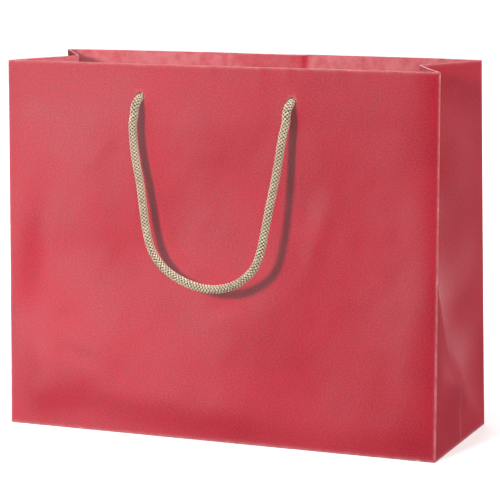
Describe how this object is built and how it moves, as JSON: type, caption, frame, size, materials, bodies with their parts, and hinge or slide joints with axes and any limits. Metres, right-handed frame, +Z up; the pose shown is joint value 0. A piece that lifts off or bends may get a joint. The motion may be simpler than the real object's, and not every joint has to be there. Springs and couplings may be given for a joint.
{
  "type": "gift bag",
  "caption": "Wide paper carrier bag for gifts, standing open, with tucked gussets, a turned-in hem and a braided cord handle that swings.",
  "frame": {"origin": "on the floor under the middle of the bag's base", "axes": "+X along the bag's width, to the right as seen from the front, -Y out of the front panel, +Z up"},
  "size_m": [0.32, 0.1337, 0.26],
  "materials": {
    "red_paper": "satin",
    "grey_board": "matte",
    "braided_cord": "matte"
  },
  "bodies": {
    "bag": {"back_hem": "red_paper", "back_mouth_card": "grey_board", "back_panel": "red_paper", "base_board": "grey_board", "bottom_flap_back": "red_paper", "bottom_flap_front": "red_paper", "bottom_flap_left": "red_paper", "bottom_flap_right": "red_paper", "front_cord_end_left": "braided_cord", "front_cord_end_right": "braided_cord", "front_hem": "red_paper", "front_knot_left": "braided_cord", "front_knot_right": "braided_cord", "front_mouth_card": "grey_board", "front_panel": "red_paper", "gusset_back_left": "red_paper", "gusset_back_right": "red_paper", "gusset_base_left": "red_paper", "gusset_base_right": "red_paper", "gusset_front_left": "red_paper", "gusset_front_right": "red_paper", "gusset_hem_back_left": "red_paper", "gusset_hem_back_right": "red_paper", "gusset_hem_front_left": "red_paper", "gusset_hem_front_right": "red_paper", "seam_flap": "red_paper"},
    "front_handle": {"front_handle_loop": "braided_cord"}
  },
  "joints": [
    {"name": "front_handle_swing", "type": "hinge", "parent": "bag", "child": "front_handle", "pos_m": [0, -0.05888, 0.237], "axis": [-1, 0, 0], "range_deg": [0, 175]}
  ]
}
